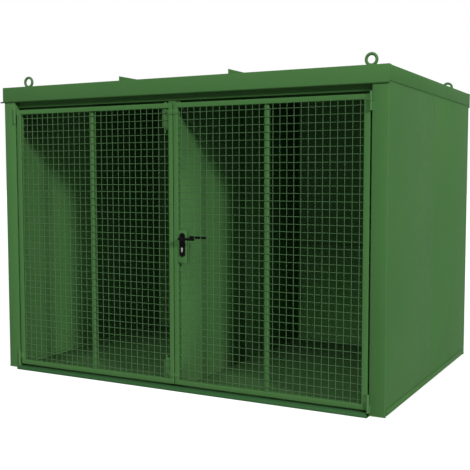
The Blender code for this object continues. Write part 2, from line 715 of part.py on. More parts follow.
def build_spout():
    """The rubber drain spout under the left fascia."""
    x, y, z = -BODY_HALF_W - GAP, -BODY_HALF_D + SPOUT_INSET, FASCIA_SIDE_BOTTOM - SPOUT_DROP
    bm = bmesh.new()
    rod(bm, (x, y, z), (x - SPOUT_LENGTH, y, z), SPOUT_R, 16)
    spout = add(bm, "drain_spout", home=(x, y, z), look=(BLACK, 0.5, 0.0), smooth=True)
    bm = bmesh.new()
    rod(bm, (x - SPOUT_LENGTH / 2, y, z), (x - SPOUT_LENGTH * 2, y, z), SPOUT_BORE_R, 16)
    combine(spout, cutter(bm, "spout_bore", smooth=True), "DIFFERENCE")


def build_doors():
    """Both leaves under their hinge axes, and the levers under their spindle's axis."""
    left_axis = axis_empty("left_leaf_axis", (-HINGE_X, HINGE_Y, 0))
    right_axis = axis_empty("right_leaf_axis", (HINGE_X, HINGE_Y, 0))
    lever_axis = axis_empty("lever_axis", (LOCK_X, PLATE_OUT, SPINDLE_Z), right_axis)
    build_leaf(False, left_axis)
    build_leaf(True, right_axis)
    build_hinges(left_axis, right_axis)
    build_lock(right_axis)
    build_levers(lever_axis)
    build_bolts(left_axis)


for item in list(bpy.data.objects):
    bpy.data.objects.remove(item, do_unlink=True)
PARTS = collection("Gas cylinder cage")
CUTTERS = collection("Cutters")
build_base()
build_walls()
build_inside()
build_roof()
build_eyes()
build_doors()
build_spout()
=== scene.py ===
"""Looks of a walk-in gas cylinder cage: powder-coated sheet steel, welded mesh and a lever lock.

Each sub-assembly is a class with its sizes as fields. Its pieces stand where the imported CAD
nodes stand, and ride on the same bodies. Metres, +Z up, -Y at the doors.
"""
import logging
from dataclasses import dataclass, field
from enum import Enum
from math import cos, pi, radians, sin
from typing import Sequence

import bmesh
import bpy
from mathutils import Matrix, Vector


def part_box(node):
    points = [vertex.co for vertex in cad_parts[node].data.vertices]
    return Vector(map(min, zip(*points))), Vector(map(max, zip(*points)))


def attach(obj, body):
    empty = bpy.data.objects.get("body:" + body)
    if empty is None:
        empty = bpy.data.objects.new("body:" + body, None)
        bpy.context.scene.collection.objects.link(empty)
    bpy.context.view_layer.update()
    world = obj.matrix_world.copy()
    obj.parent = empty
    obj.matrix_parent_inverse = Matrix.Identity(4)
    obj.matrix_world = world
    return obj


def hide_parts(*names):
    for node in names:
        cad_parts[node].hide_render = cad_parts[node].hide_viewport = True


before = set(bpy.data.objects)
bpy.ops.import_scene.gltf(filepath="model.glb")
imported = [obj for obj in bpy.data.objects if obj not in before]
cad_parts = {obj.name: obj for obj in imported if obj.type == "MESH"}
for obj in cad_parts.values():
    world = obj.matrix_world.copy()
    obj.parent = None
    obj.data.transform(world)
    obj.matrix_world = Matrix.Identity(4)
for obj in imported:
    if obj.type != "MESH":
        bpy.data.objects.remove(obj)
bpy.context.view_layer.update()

LOG = logging.getLogger("cage")
Point = Sequence[float]
Pair = tuple[float, float]
Triple = tuple[float, float, float]
Socket = bpy.types.NodeSocket
Mesh, Edge, Vert = bmesh.types.BMesh, bmesh.types.BMEdge, bmesh.types.BMVert
GREEN = (0.065, 0.171, 0.052)
WHITE = (1.0, 1.0, 1.0, 1.0)


class Body(Enum):
    """The CAD bodies that a piece can ride on."""

    CAGE = "cage"
    LEFT = "left_leaf"
    RIGHT = "right_leaf"
    HANDLE = "handle"


class Slot(Enum):
    """The record's material slots."""

    GREEN = "green_paint"
    BLACK = "black_handle"
    STEEL = "cylinder_steel"
    RUBBER = "black_rubber"


class Side(Enum):
    """Left or right of the cage, seen from the doors."""

    LEFT = -1
    RIGHT = 1

    @property
    def word(self) -> str:
        """Lower-case name, as the nodes' names have it."""
        return self.name.lower()

    @property
    def leaf(self) -> Body:
        """Body of the leaf on this side."""
        return Body[self.name]


class Graph:
    """The node tree of a material or of the world, built node by node."""

    def __init__(self, name: str, store: str = "materials") -> None:
        """Start with the default shader.

        Args:
            name: its name.
            store: materials or worlds.
        """
        self.mat = getattr(bpy.data, store).new(name)
        self.mat.use_nodes = True
        self.tree = self.mat.node_tree
        nodes = self.tree.nodes
        self.shader = nodes.get("Principled BSDF") or nodes["Background"]
        self.place = self.add("ShaderNodeTexCoord", {}).outputs["Object"]

    def add(self, kind: str, inputs: dict[object, object], **settings: object) -> bpy.types.Node:
        """Add a node, set its properties and feed its sockets.

        Args:
            kind: its type name.
            inputs: an output or a constant for each socket.
            settings: property values by name.

        Returns:
            The new node.
        """
        node = self.tree.nodes.new(kind)
        for key, value in settings.items():
            setattr(node, key, value)
        self.feed(node, inputs)
        return node

    def feed(self, node: bpy.types.Node, inputs: dict[object, object]) -> None:
        """Link outputs to a node's sockets, or set them to constants.

        Args:
            node: the node.
            inputs: an output or a constant for each socket.
        """
        for key, value in inputs.items():
            if isinstance(value, Socket):
                self.tree.links.new(value, node.inputs[key])
            else:
                node.inputs[key].default_value = value

    def noise(self, scale: float, detail: float = 2.0, stretch: Point = (),
              roughness: float = 0.5) -> Socket:
        """Noise on the object's own coordinates.

        Args:
            scale: features per metre.
            detail: octaves.
            stretch: scale along each axis, for streaks.
            roughness: share of the finer octaves.

        Returns:
            The noise's value.
        """
        place = self.place
        if stretch:
            turn = self.add("ShaderNodeMapping", {"Scale": stretch, "Vector": place})
            place = turn.outputs["Vector"]
        return self.add("ShaderNodeTexNoise", {
            "Scale": scale, "Detail": detail, "Roughness": roughness,
            "Vector": place}).outputs["Fac"]

    def span(self, value: object, low: float, high: float, out_low: float = 0.0,
             out_high: float = 1.0) -> Socket:
        """Map a value from one range to another, clamped.

        Args:
            value: socket to map.
            low: input that gives out_low.
            high: input that gives out_high.
            out_low: lowest result.
            out_high: highest result.

        Returns:
            The mapped value.
        """
        return self.add("ShaderNodeMapRange", {
            "Value": value, "From Min": low, "From Max": high, "To Min": out_low,
            "To Max": out_high}, clamp=True).outputs["Result"]

    def maths(self, a: object, b: object, kind: str = "MULTIPLY") -> Socket:
        """Give the result of one arithmetic step."""
        return self.add("ShaderNodeMath", {0: a, 1: b}, operation=kind).outputs[0]

    def blend(self, share: object, a: object, b: object) -> Socket:
        """Mix two colours, with a share of the second."""
        colours = {"Factor": share, 6: a, 7: b}
        return self.add("ShaderNodeMix", colours, data_type="RGBA").outputs[2]

    def bump(self, height: object, depth: float, below: object = None) -> Socket:
        """Turn a height into a normal.

        Args:
            height: the height's socket.
            depth: its real height in metres.
            below: normal of a coarser one under it.

        Returns:
            The bumped normal.
        """
        relief = {"Strength": 1.0, "Distance": depth, "Height": height}
        if below is not None:
            relief["Normal"] = below
        return self.add("ShaderNodeBump", relief).outputs["Normal"]

    def edges(self, radius: float) -> Socket:
        """Mask that is 1 on sharp edges and 0 on flat faces.

        Args:
            radius: width of the edge in metres.

        Returns:
            The mask.
        """
        soft = self.add("ShaderNodeBevel", {"Radius": radius}, samples=4)
        true = self.add("ShaderNodeNewGeometry", {})
        dot = self.add("ShaderNodeVectorMath", {
            0: soft.outputs["Normal"], 1: true.outputs["True Normal"]}, operation="DOT_PRODUCT")
        return self.span(dot.outputs["Value"], 0.995, 0.8)

    def set(self, **inputs: object) -> None:
        """Feed the shader's sockets by name, with underscores for spaces."""
        self.feed(self.shader, {key.replace("_", " ").title().replace("Ior", "IOR"): value
                                for key, value in inputs.items()})


def rgba(colour: Point, gain: float = 1.0) -> tuple[float, float, float, float]:
    """Give a colour its alpha, and brighten or darken it."""
    return (*(c * gain for c in colour[:3]), 1.0)


@dataclass(frozen=True)
class PowderCoat:
    """Green powder coat over steel: faint tone patches, orange peel, dust, and edges painted
    lighter as worn coat and painted highlight.
    """

    name: str
    colour: Triple = GREEN
    rough: float = 0.5
    gloss: float = 0.006
    wave: float = 0.0        # height of the sheet's slow waviness
    peel: float = 0.00006    # height of the orange peel
    dust: float = 0.06       # most that settles near the ground
    wear: float = 0.35       # how far edges are painted lighter: thinned coat and a painted highlight
    scuffs: float = 0.0      # share of drag marks, for the floor

    def build(self) -> bpy.types.Material:
        """Make the material.

        Returns:
            The material.
        """
        g = Graph(self.name)
        cloud = g.noise(9.0, 4.0)
        tone = g.blend(g.span(g.noise(1.3, 3.0), 0.35, 0.65), rgba(self.colour, 0.97),
                       rgba(self.colour, 1.03))
        tone = g.blend(g.span(cloud, 0.4, 0.72, 0.0, 0.12), tone,
                       rgba((self.colour[0] * 1.12, self.colour[1], self.colour[2] * 0.92)))
        grain = g.span(g.noise(260.0), 0.45, 0.75, 0.0, 0.08)
        tone = g.blend(grain, tone, rgba(self.colour, 1.25))
        height = g.add("ShaderNodeSeparateXYZ", {0: g.place})
        low = g.span(height.outputs["Z"], 0.38, 0.0)
        dirt = g.maths(g.maths(low, low), g.span(cloud, 0.35, 0.7, 0.25 * self.dust, self.dust))
        tone = g.blend(dirt, tone, (0.2, 0.185, 0.13, 1.0))
        rough = g.span(g.noise(23.0, 3.0), 0.3, 0.7, self.rough - 0.035, self.rough + 0.05)
        rough = g.maths(rough, g.maths(dirt, 0.8), "ADD")
        if self.scuffs:
            drag = g.noise(14.0, 5.0, (1.0, 9.0, 1.0), 0.65)
            marks = g.span(drag, 0.58, 0.66, 0.0, self.scuffs)
            tone = g.blend(marks, tone, rgba((0.1, 0.16, 0.1)))
            rough = g.maths(rough, g.maths(marks, 0.4), "ADD")
        if self.wear:
            # edges painted a lighter green: partly thinned coat, partly a painted edge highlight
            worn_and_lit = g.maths(g.edges(0.0011), g.span(g.noise(55.0, 4.0), 0.42, 0.62))
            worn_and_lit = g.maths(worn_and_lit, self.wear)
            tone = g.blend(worn_and_lit, tone, (0.15, 0.275, 0.125, 1.0))
        normal = None
        if self.wave:
            normal = g.bump(g.noise(2.6), self.wave)
        normal = g.bump(g.noise(620.0), self.peel, normal)
        g.set(base_color=tone, roughness=rough, normal=normal, specular_ior_level=self.gloss)
        return g.mat


@dataclass(frozen=True)
class WeldCoat:
    """The same coat over a weld bead: ripples across the bead and pinholes."""

    name: str
    colour: Triple = GREEN

    def build(self) -> bpy.types.Material:
        """Make the material.

        Returns:
            The material.
        """
        g = Graph(self.name)
        ripple = g.noise(420.0, 3.0)
        tone = g.blend(g.span(ripple, 0.35, 0.7), rgba(self.colour, 0.82), rgba(self.colour, 1.12))
        normal = g.bump(g.noise(150.0, 3.0), 0.0012)
        g.set(base_color=tone, roughness=g.span(g.noise(90.0), 0.3, 0.7, 0.42, 0.56),
              normal=g.bump(ripple, 0.0002, normal), specular_ior_level=0.08)
        return g.mat


@dataclass(frozen=True)
class MouldedGrip:
    """Black moulded grip: fine spark texture, a little polished by hands, its rubbed edges painted
    lighter as wear and painted sheen.
    """

    name: str
    colour: Triple = (0.0034, 0.0034, 0.0036)
    rough: float = 0.42

    def build(self) -> bpy.types.Material:
        """Make the material.

        Returns:
            The material.
        """
        g = Graph(self.name)
        cloud = g.noise(30.0, 4.0)
        tone = g.blend(g.span(cloud, 0.35, 0.7), rgba(self.colour), rgba(self.colour, 1.7))
        # rubbed edges painted lighter: partly wear, partly a painted sheen
        worn_and_lit = g.span(g.noise(160.0, 3.0), 0.4, 0.65, 0.0, 0.5)
        edge = g.maths(g.edges(0.0008), worn_and_lit)
        tone = g.blend(edge, tone, (0.018, 0.018, 0.019, 1.0))
        rough = g.span(g.noise(14.0), 0.35, 0.65, self.rough - 0.12, self.rough + 0.05)
        g.set(base_color=tone, roughness=rough, normal=g.bump(g.noise(1500.0), 0.00004),
              specular_ior_level=0.03)
        return g.mat


@dataclass(frozen=True)
class PlatedSteel:
    """Nickel or zinc plated steel: fine turning marks, cloudy plating, dull spots."""

    name: str
    colour: Triple = (0.4, 0.39, 0.34)
    rough: float = 0.28
    lay: Triple = (1.0, 0.06, 1.0)

    def build(self) -> bpy.types.Material:
        """Make the material.

        Returns:
            The material.
        """
        g = Graph(self.name)
        cloud = g.noise(120.0, 4.0)
        tone = g.blend(g.span(cloud, 0.35, 0.7), rgba(self.colour, 0.8), rgba(self.colour, 1.12))
        lines = g.noise(2600.0, 2.0, self.lay)
        rough = g.span(g.noise(300.0, 3.0), 0.3, 0.7, self.rough - 0.06, self.rough + 0.16)
        g.set(base_color=tone, metallic=1.0, roughness=rough, normal=g.bump(lines, 0.00002))
        return g.mat


@dataclass(frozen=True)
class MattRubber:
    """Black rubber with a dusty bloom."""

    name: str
    colour: Triple = (0.014, 0.014, 0.014)

    def build(self) -> bpy.types.Material:
        """Make the material.

        Returns:
            The material.
        """
        g = Graph(self.name)
        bloom = g.span(g.noise(60.0, 4.0), 0.45, 0.75, 0.0, 0.6)
        g.set(base_color=g.blend(bloom, rgba(self.colour), (0.045, 0.044, 0.042, 1.0)),
              roughness=g.span(bloom, 0.0, 0.6, 0.62, 0.82),
              normal=g.bump(g.noise(900.0, 3.0), 0.00008))
        return g.mat


class Finish(Enum):
    """Every finish on the cage, with the record's slot that it belongs to."""

    PANEL = (PowderCoat("panel_coat", wave=0.0009), Slot.GREEN)
    # darker copy of the green coat for the cage's inside: painted shade, with more dust
    INSIDE = (PowderCoat("inside_coat", (0.06, 0.16, 0.049), 0.56, wave=0.0009, dust=0.16),
              Slot.GREEN)
    # much darker copy of the green coat for the floor sheet: painted shade, with real scuffs and
    # dust
    FLOOR = (PowderCoat("floor_coat", (0.036, 0.1, 0.031), 0.62, dust=0.08, scuffs=0.2), Slot.GREEN)
    # darker copy of the green coat for the sill: painted shade, with wider lighter edges
    SILL = (PowderCoat("sill_coat", (0.035, 0.118, 0.039), 0.56, wear=0.6), Slot.GREEN)
    TUBE = (PowderCoat("tube_coat", dust=0.08), Slot.GREEN)
    WIRE = (PowderCoat("wire_coat", (0.07, 0.144, 0.062), 0.52, peel=0.0, wear=0.0), Slot.GREEN)
    FORGED = (PowderCoat("forged_coat", rough=0.4, gloss=0.22, peel=0.0003, wear=0.5), Slot.GREEN)
    WELD = (WeldCoat("weld_coat"), Slot.GREEN)
    GRIP = (MouldedGrip("grip_black"), Slot.BLACK)
    # near-black for the key slots: painted shade of a recess
    KEYWAY_SHADE = (MouldedGrip("keyway_black", (0.002, 0.002, 0.002), 0.6), Slot.BLACK)
    NICKEL = (PlatedSteel("cylinder_nickel"), Slot.STEEL)
    ZINC = (PlatedSteel("fastener_zinc", (0.36, 0.37, 0.38), 0.38), Slot.STEEL)
    RUBBER = (MattRubber("spout_rubber"), Slot.RUBBER)

    def material(self) -> bpy.types.Material:
        """Make this finish's material once and give it."""
        recipe = self.value[0]
        return bpy.data.materials.get(recipe.name) or recipe.build()


def stand(place: Point, axis: Point) -> Matrix:
    """Give the matrix that sets +Z up on a place along an axis."""
    return Matrix.Translation(place) @ Vector(axis).to_track_quat("Z", "Y").to_matrix().to_4x4()


def cube(bm: Mesh, low: Point, high: Point) -> list[Vert]:
    """Add a box between two corners.

    Args:
        bm: the bmesh.
        low: lowest corner.
        high: highest corner.

    Returns:
        Its corners.
    """
    low, high = Vector(low), Vector(high)
    size = Matrix.Diagonal((high - low).to_4d())
    place = Matrix.Translation((low + high) / 2) @ size
    return bmesh.ops.create_cube(bm, size=1.0, matrix=place)["verts"]


def bevel(bm: Mesh, edges: list[Edge], width: float, segments: int = 1, **more: bool) -> None:
    """Round some edges to a radius in a number of steps."""
    bmesh.ops.bevel(bm, geom=edges, offset=width, offset_type="OFFSET", segments=segments,
                    profile=0.5, affect="EDGES", material=-1, **more)


def sharp(bm: Mesh, angle: float) -> list[Edge]:
    """Give the edges whose faces meet at more than an angle in degrees."""
    return [e for e in bm.edges
            if len(e.link_faces) == 2 and e.calc_face_angle(0.0) > radians(angle)]


class Shape:
    """A mesh that grows from bmesh operators and ends as one piece of the scene."""

    def __init__(self) -> None:
        """Start with an empty bmesh."""
        self.bm = bmesh.new()

    def box(self, low: Point, high: Point, edge: float = 0.0, segments: int = 2) -> None:
        """Add a box with rounded edges.

        Args:
            low: lowest corner.
            high: highest corner.
            edge: radius of its edges.
            segments: steps of each edge.
        """
        corners = cube(self.bm, low, high)
        if edge:
            bevel(self.bm, list({e for v in corners for e in v.link_edges}), edge, segments)

    def lathe(self, profile: Sequence[Pair], centre: Point,
              axis: Point = (0, 0, 1), steps: int = 24) -> None:
        """Turn a profile about an axis.

        Args:
            profile: radius and height of each point.
            centre: foot of the axis.
            axis: direction of the axis.
            steps: faces round it.
        """
        part = bmesh.new()
        verts = [part.verts.new((r, 0.0, h)) for r, h in profile]
        edges = [part.edges.new(pair) for pair in zip(verts, verts[1:])]
        bmesh.ops.spin(part, geom=verts + edges, axis=(0, 0, 1), angle=2 * pi, steps=steps,
                       use_merge=True)
        bmesh.ops.remove_doubles(part, verts=part.verts, dist=1e-6)
        bmesh.ops.transform(part, matrix=stand(centre, axis), verts=part.verts)
        bmesh.ops.recalc_face_normals(part, faces=part.faces)
        self.join(part)

    def join(self, part: Mesh) -> None:
        """Add a finished bmesh and free it.

        Args:
            part: the bmesh to add.
        """
        store = bpy.data.meshes.new("store")
        part.to_mesh(store)
        part.free()
        self.bm.from_mesh(store)
        bpy.data.meshes.remove(store)

    def rod(self, start: Point, end: Point, radius: float) -> None:
        """Add a plain eight-sided bar between two points.

        Args:
            start: one end.
            end: the other end.
            radius: its radius.
        """
        start, end = Vector(start), Vector(end)
        bmesh.ops.create_cone(self.bm, cap_ends=True, segments=8, radius1=radius,
                              radius2=radius, depth=(end - start).length,
                              matrix=stand((start + end) / 2, end - start))

    def turned_rod(self, start: Point, end: Point, radius: float, chamfer: float = 0.001,
                   bore: float = 0.0, steps: int = 24) -> None:
        """Add a round bar or tube with chamfered ends.

        Args:
            start: one end.
            end: the other end.
            radius: outer radius.
            chamfer: size of the chamfers.
            bore: inner radius, or 0 for a solid bar.
            steps: faces round it.
        """
        start, end = Vector(start), Vector(end)
        length, c = (end - start).length, chamfer
        rim = [(radius - c, 0), (radius, c), (radius, length - c), (radius - c, length)]
        if bore:
            rim = rim + [(bore, length), (bore, 0), rim[0]]
        else:
            rim = [(0, 0)] + rim + [(0, length)]
        self.lathe(rim, start, end - start, steps)

    def spot(self, centre: Point, size: Point, rings: int = 1) -> None:
        """Add a small lump of weld.

        Args:
            centre: its middle.
            size: half sizes along the axes.
            rings: 1 for 20 faces, 2 for 80.
        """
        place = Matrix.Translation(centre) @ Matrix.Diagonal(Vector(size).to_4d())
        bmesh.ops.create_icosphere(self.bm, subdivisions=rings, radius=1.0, matrix=place)

    def bead(self, start: Point, end: Point, radius: float) -> None:
        """Add a weld bead as a row of overlapping lumps.

        Args:
            start: one end.
            end: the other end.
            radius: half the bead's width.
        """
        start, end = Vector(start), Vector(end)
        count = max(2, int((end - start).length / (radius * 0.75)))
        for k in range(count + 1):
            self.spot(start.lerp(end, k / count), [radius] * 3, 2)

    def carry(self, node: str, edge: float, segments: int = 2, angle: float = 35.0) -> "Shape":
        """Add a CAD node's own shape with rounded edges.

        Args:
            node: the node.
            edge: radius of its edges.
            segments: steps of each edge.
            angle: edges over it, in degrees, are rounded.

        Returns:
            This shape.
        """
        part = bmesh.new()
        part.from_mesh(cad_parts[node].data)
        bmesh.ops.remove_doubles(part, verts=part.verts, dist=1e-5)
        bmesh.ops.dissolve_limit(part, angle_limit=radians(0.5), verts=part.verts,
                                 edges=part.edges)
        bevel(part, sharp(part, angle), edge, segments, clamp_overlap=True)
        self.join(part)
        return self

    def piece(self, name: str, body: Body, finish: Finish, nodes: Sequence[str] = (),
              smooth: float = 32.0) -> None:
        """Make the object, dress it and let it ride.

        Args:
            name: the piece's name.
            body: its body.
            finish: its finish.
            nodes: its CAD nodes.
            smooth: faces that meet below it, in degrees, shade as one.
        """
        mesh = bpy.data.meshes.new(name)
        self.bm.to_mesh(mesh)
        self.bm.free()
        mesh.shade_smooth()
        mesh.set_sharp_from_angle(angle=radians(smooth))
        mesh.materials.append(finish.material())
        obj = bpy.data.objects.new(name, mesh)
        bpy.context.scene.collection.objects.link(obj)
        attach(obj, body.value)
        if nodes:
            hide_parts(*nodes)
        LOG.info("%s: %d faces on %s", name, len(mesh.polygons), body.value)


@dataclass
class SheetWork:
    """The folded sheets, kept in their CAD shape with pressed, rounded edges."""

    edge: float = 0.0009
    foot: float = 0.0065     # height of the front feet over the ground
    rear_foot: float = 0.0034
    thick: float = 0.0022    # the feet's sheet
    slit: float = 0.00002    # left open, so that no faces touch
    rebate: Pair = (1.9905, 2.0212)    # heights of its rails
    outside: tuple[str, ...] = (
        "front_left_corner_panel", "front_right_corner_panel", "rear_left_corner_panel",
        "rear_right_corner_panel", "base_rail_left", "base_rail_right",
        "fascia_front", "fascia_rear", "fascia_left", "fascia_right", "roof_sheet",
        "roof_seam_left", "roof_seam_right", "lintel", "rear_panel_left_lower",
        "rear_panel_left_upper", "rear_panel_right_lower", "rear_panel_right_upper")
    inside: tuple[str, ...] = ("partition_front", "partition_rear", "door_stop")

    def build(self) -> None:
        """Make one piece of each sheet."""
        for nodes, finish in ((self.outside, Finish.PANEL), (self.inside, Finish.INSIDE),
                              (("front_sill",), Finish.SILL)):
            for node in nodes:
                Shape().carry(node, self.edge).piece(f"{node}_folded", Body.CAGE, finish, [node])
        self.feet()
        self.seam_fillers()
        self.rebates()
        self.tread()
        Shape().carry("floor_sheet", 0.0006).piece("floor_sheet_laid", Body.CAGE, Finish.FLOOR,
                                                   ["floor_sheet"])

    def feet(self) -> None:
        """Close each corner under its post: a face strip, a side strip and a flange inwards."""
        floor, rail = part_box("floor_sheet"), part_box("base_rail_right")
        (post, front, high), (half_w, *_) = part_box("front_right_corner_panel")
        rear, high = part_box("rear_right_corner_panel")[1].y, high - self.slit
        plates = Shape()
        for sx in (-1, 1):
            for sy, out, low, inner in ((-1, front, self.foot, post + 0.003),
                                        (1, rear, self.rear_foot, post + 0.0004)):
                back, edge = rail[max(sy, 0)].y, floor[max(sy, 0)].y
                for x0, y0, x1, y1, z1 in (
                        (post + 0.0002, out - sy * 0.0024, half_w - 0.0002, out - sy * 0.0002,
                         high),
                        (half_w - 0.0024, back + sy * 0.0004, half_w - 0.0002,
                         out - sy * 0.0026, high),
                        (inner, back + sy * 0.0004, half_w - 0.0028, out - sy * 0.0028,
                         low + self.thick),
                        (inner, edge - sy * 0.008, floor[1].x - 0.0004, back,
                         low + self.thick)):
                    xs, ys = sorted((sx * x0, sx * x1)), sorted((y0, y1))
                    plates.box((xs[0], ys[0], low), (xs[1], ys[1], z1))
        plates.piece("corner_feet", Body.CAGE, Finish.PANEL)

    def seam_fillers(self) -> None:
        """Fill the slot of each side seam a little below the walls' faces."""
        low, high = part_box("front_right_corner_panel")
        fillers = Shape()
        for sx in (-1, 1):
            xs = sorted((sx * (high.x - 0.012), sx * (high.x - 0.0012)))
            fillers.box((xs[0], high.y + self.slit, low.z + 0.0005),
                        (xs[1], -high.y - self.slit, high.z - 0.0005))
        fillers.piece("side_seam_fillers", Body.CAGE, Finish.PANEL)

    def rebates(self) -> None:
        """Put a stop rail behind each leaf's top rail, from the post to the stop plate."""
        stop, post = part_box("door_stop"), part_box("front_right_corner_panel")[0].x
        rails = Shape()
        for x0, x1 in ((-post, stop[0].x), (stop[1].x, post)):
            rails.box((x0, stop[0].y + 0.0003, self.rebate[0]),
                      (x1, stop[0].y + 0.0035, self.rebate[1]), 0.0006)
        rails.piece("rebate_rails", Body.CAGE, Finish.INSIDE)

    def tread(self) -> None:
        """Cover the sill between its front plate and the floor sheet."""
        low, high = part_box("front_sill")
        shape, y = Shape(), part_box("floor_sheet")[0].y - 0.001
        shape.box((low.x + 0.0135, low.y + 0.0033, high.z - 0.0034),
                  (high.x - 0.0135, y, high.z - 0.0002), 0.0006)
        shape.piece("sill_tread", Body.CAGE, Finish.SILL)


@dataclass
class DoorLeaf:
    """A door leaf: four mitred tubes, welded mesh, stiffener, stops and top tab."""

    side: Side
    face_hinge: float = 0.04
    face_meet: float = 0.034
    face_rail: float = 0.034
    tube_round: float = 0.003
    end_round: float = 0.0005
    pitch: float = 0.05
    wire: float = 0.0045
    first_wire: float = 0.0322
    top_wire: float = 0.0327
    gap: float = 0.0005      # from cut wires to the lock case
    stop_x: tuple[Pair, Pair] = ((-0.046, -0.0058), (-0.0042, 0.033))  # left leaf, right leaf
    stop_z: tuple[Pair, Pair] = ((1.9405, 1.9705), (0.089, 0.121))     # upper, lower
    tab_x: tuple[Pair, Pair] = ((-0.0615, -0.0085), (-0.0015, 0.005))
    tab_in: float = 0.032    # from the leaf's face to the tab's middle
    low: Vector = field(init=False)
    high: Vector = field(init=False)

    def __post_init__(self) -> None:
        """Read the leaf's place from its frame node."""
        self.low, self.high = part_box(f"{self.side.word}_leaf_frame")

    def tube(self, shape: Shape, low: Vector, high: Vector,
             mitres: Sequence[tuple[Vector, Vector]]) -> None:
        """Add one tube with both ends cut on a mitre.

        Args:
            shape: shape to add to.
            low: lowest corner at full length.
            high: highest corner.
            mitres: outer and inner corner at each end.
        """
        part = bmesh.new()
        middle = (low + high) / 2
        cube(part, low, high)
        for outer, inner in mitres:
            line = (inner - outer).normalized()
            away = Vector((line.z, 0.0, -line.x))
            if away.dot(middle - outer) > 0:
                away = -away
            cut = bmesh.ops.bisect_plane(part, geom=part.verts[:] + part.edges[:] + part.faces[:],
                                         plane_co=outer - away * 0.00012, plane_no=away,
                                         clear_outer=True)["geom_cut"]
            bmesh.ops.contextual_create(part, geom=[e for e in cut if isinstance(e, Edge)])
        bmesh.ops.recalc_face_normals(part, faces=part.faces)
        axis = 2 if high.z - low.z > high.x - low.x else 0
        along = [e for e in part.edges
                 if abs((e.verts[1].co - e.verts[0].co).normalized()[axis]) > 0.99]
        bevel(part, along, self.tube_round, 4)
        bevel(part, sharp(part, 40), self.end_round)
        shape.join(part)

    def frame_tubes(self) -> None:
        """Make the four tubes, mitred at the corners, and the beads in the corners."""
        (x0, y0, z0), (x1, y1, z1) = self.low, self.high
        left, right = self.face_hinge, self.face_meet
        if self.side is Side.RIGHT:
            left, right = right, left
        fx0, fx1, fz0, fz1 = x0 + left, x1 - right, z0 + self.face_rail, z1 - self.face_rail
        corners = {(i, k): (Vector((ox, 0, oz)), Vector((ix, 0, iz)))
                   for i, (ox, ix) in enumerate(((x0, fx0), (x1, fx1)))
                   for k, (oz, iz) in enumerate(((z0, fz0), (z1, fz1)))}
        shape = Shape()
        for low, high, ends in (
                ((x0, y0, z0), (x1, y1, fz0), ((0, 0), (1, 0))),
                ((x0, y0, fz1), (x1, y1, z1), ((0, 1), (1, 1))),
                ((x0, y0, z0), (fx0, y1, z1), ((0, 0), (0, 1))),
                ((fx1, y0, z0), (x1, y1, z1), ((1, 0), (1, 1)))):
            self.tube(shape, Vector(low), Vector(high), [corners[e] for e in ends])
        word = self.side.word
        shape.piece(f"{word}_leaf_tubes", self.side.leaf, Finish.TUBE, [f"{word}_leaf_frame"])
        beads = Shape()
        for x in (fx0, fx1):
            for z in (fz0, fz1):
                beads.bead((x, y0 + 0.004, z), (x, y1 - 0.004, z), 0.0022)
        beads.piece(f"{word}_corner_welds", self.side.leaf, Finish.WELD)

    def columns(self) -> list[float]:
        """Place the upright wires across the leaf.

        Returns:
            The x of each.
        """
        low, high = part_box(f"{self.side.word}_leaf_mesh")
        count = int((high.x - low.x - self.wire / 2 - self.first_wire) / self.pitch) + 1
        steps = [self.first_wire + self.pitch * k for k in range(count)]
        return [low.x + s if self.side is Side.RIGHT else high.x - s for s in steps]

    def rows(self) -> list[float]:
        """Place the level wires up the leaf.

        Returns:
            The z of each.
        """
        low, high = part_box(f"{self.side.word}_leaf_mesh")
        count = int((high.z - low.z - self.wire / 2 - self.top_wire) / self.pitch) + 1
        return [high.z - self.top_wire - self.pitch * k for k in range(count)]

    def wires(self) -> None:
        """Make the mesh: uprights in front, levels behind, fused where they cross."""
        word = self.side.word
        (x0, y0, z0), (x1, y1, z1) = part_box(f"{word}_leaf_mesh")
        y, lay, r = (y0 + y1) / 2, self.wire * 0.46, self.wire / 2
        case_low, case_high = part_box("lock_case")
        right = self.side is Side.RIGHT
        shape, welds = Shape(), Shape()
        for x in self.columns():
            for z in (z0, z1):
                welds.spot((x, y - lay, z), (r * 1.4, r * 1.1, r * 0.9))
            behind = right and x - r < case_high.x
            ends = (z0, case_low.z - self.gap, case_high.z + self.gap, z1) if behind else (z0, z1)
            for a, b in zip(ends[::2], ends[1::2]):
                shape.rod((x, y - lay, a), (x, y - lay, b), r)
        for z in self.rows():
            beside = right and case_low.z - r < z < case_high.z + r
            start = case_high.x + self.gap if beside else x0
            shape.rod((start, y + lay, z), (x1, y + lay, z), r)
            for x in (start, x1):
                welds.spot((x, y + lay, z), (r * 0.9, r * 1.1, r * 1.4))
            for x in self.columns():
                if not (beside and x - r < case_high.x):
                    welds.spot((x, y, z), (r * 1.25, r * 0.8, r * 1.25))
        shape.piece(f"{word}_welded_mesh", self.side.leaf, Finish.WIRE, [f"{word}_leaf_mesh"], 50.0)
        welds.piece(f"{word}_mesh_crossings", self.side.leaf, Finish.WIRE, smooth=60.0)

    def stiffener(self) -> None:
        """Make the stiffener behind the mesh and the tacks between them."""
        node = f"{self.side.word}_leaf_stiffener"
        low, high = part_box(node)
        Shape().carry(node, 0.0016, 3).piece(f"{node}_bar", self.side.leaf, Finish.TUBE, [node])
        tacks = Shape()
        for z in self.rows()[1::3]:
            for x in (low.x + 0.003, high.x - 0.003):
                tacks.spot((x, low.y, z - 0.0025), (0.003, 0.0016, 0.0022), 2)
        y = high.y - 0.001
        for z in (low.z, high.z):
            tacks.bead((low.x + 0.003, y, z), (high.x - 0.003, y, z), 0.002)
        tacks.piece(f"{node}_tacks", self.side.leaf, Finish.WELD)

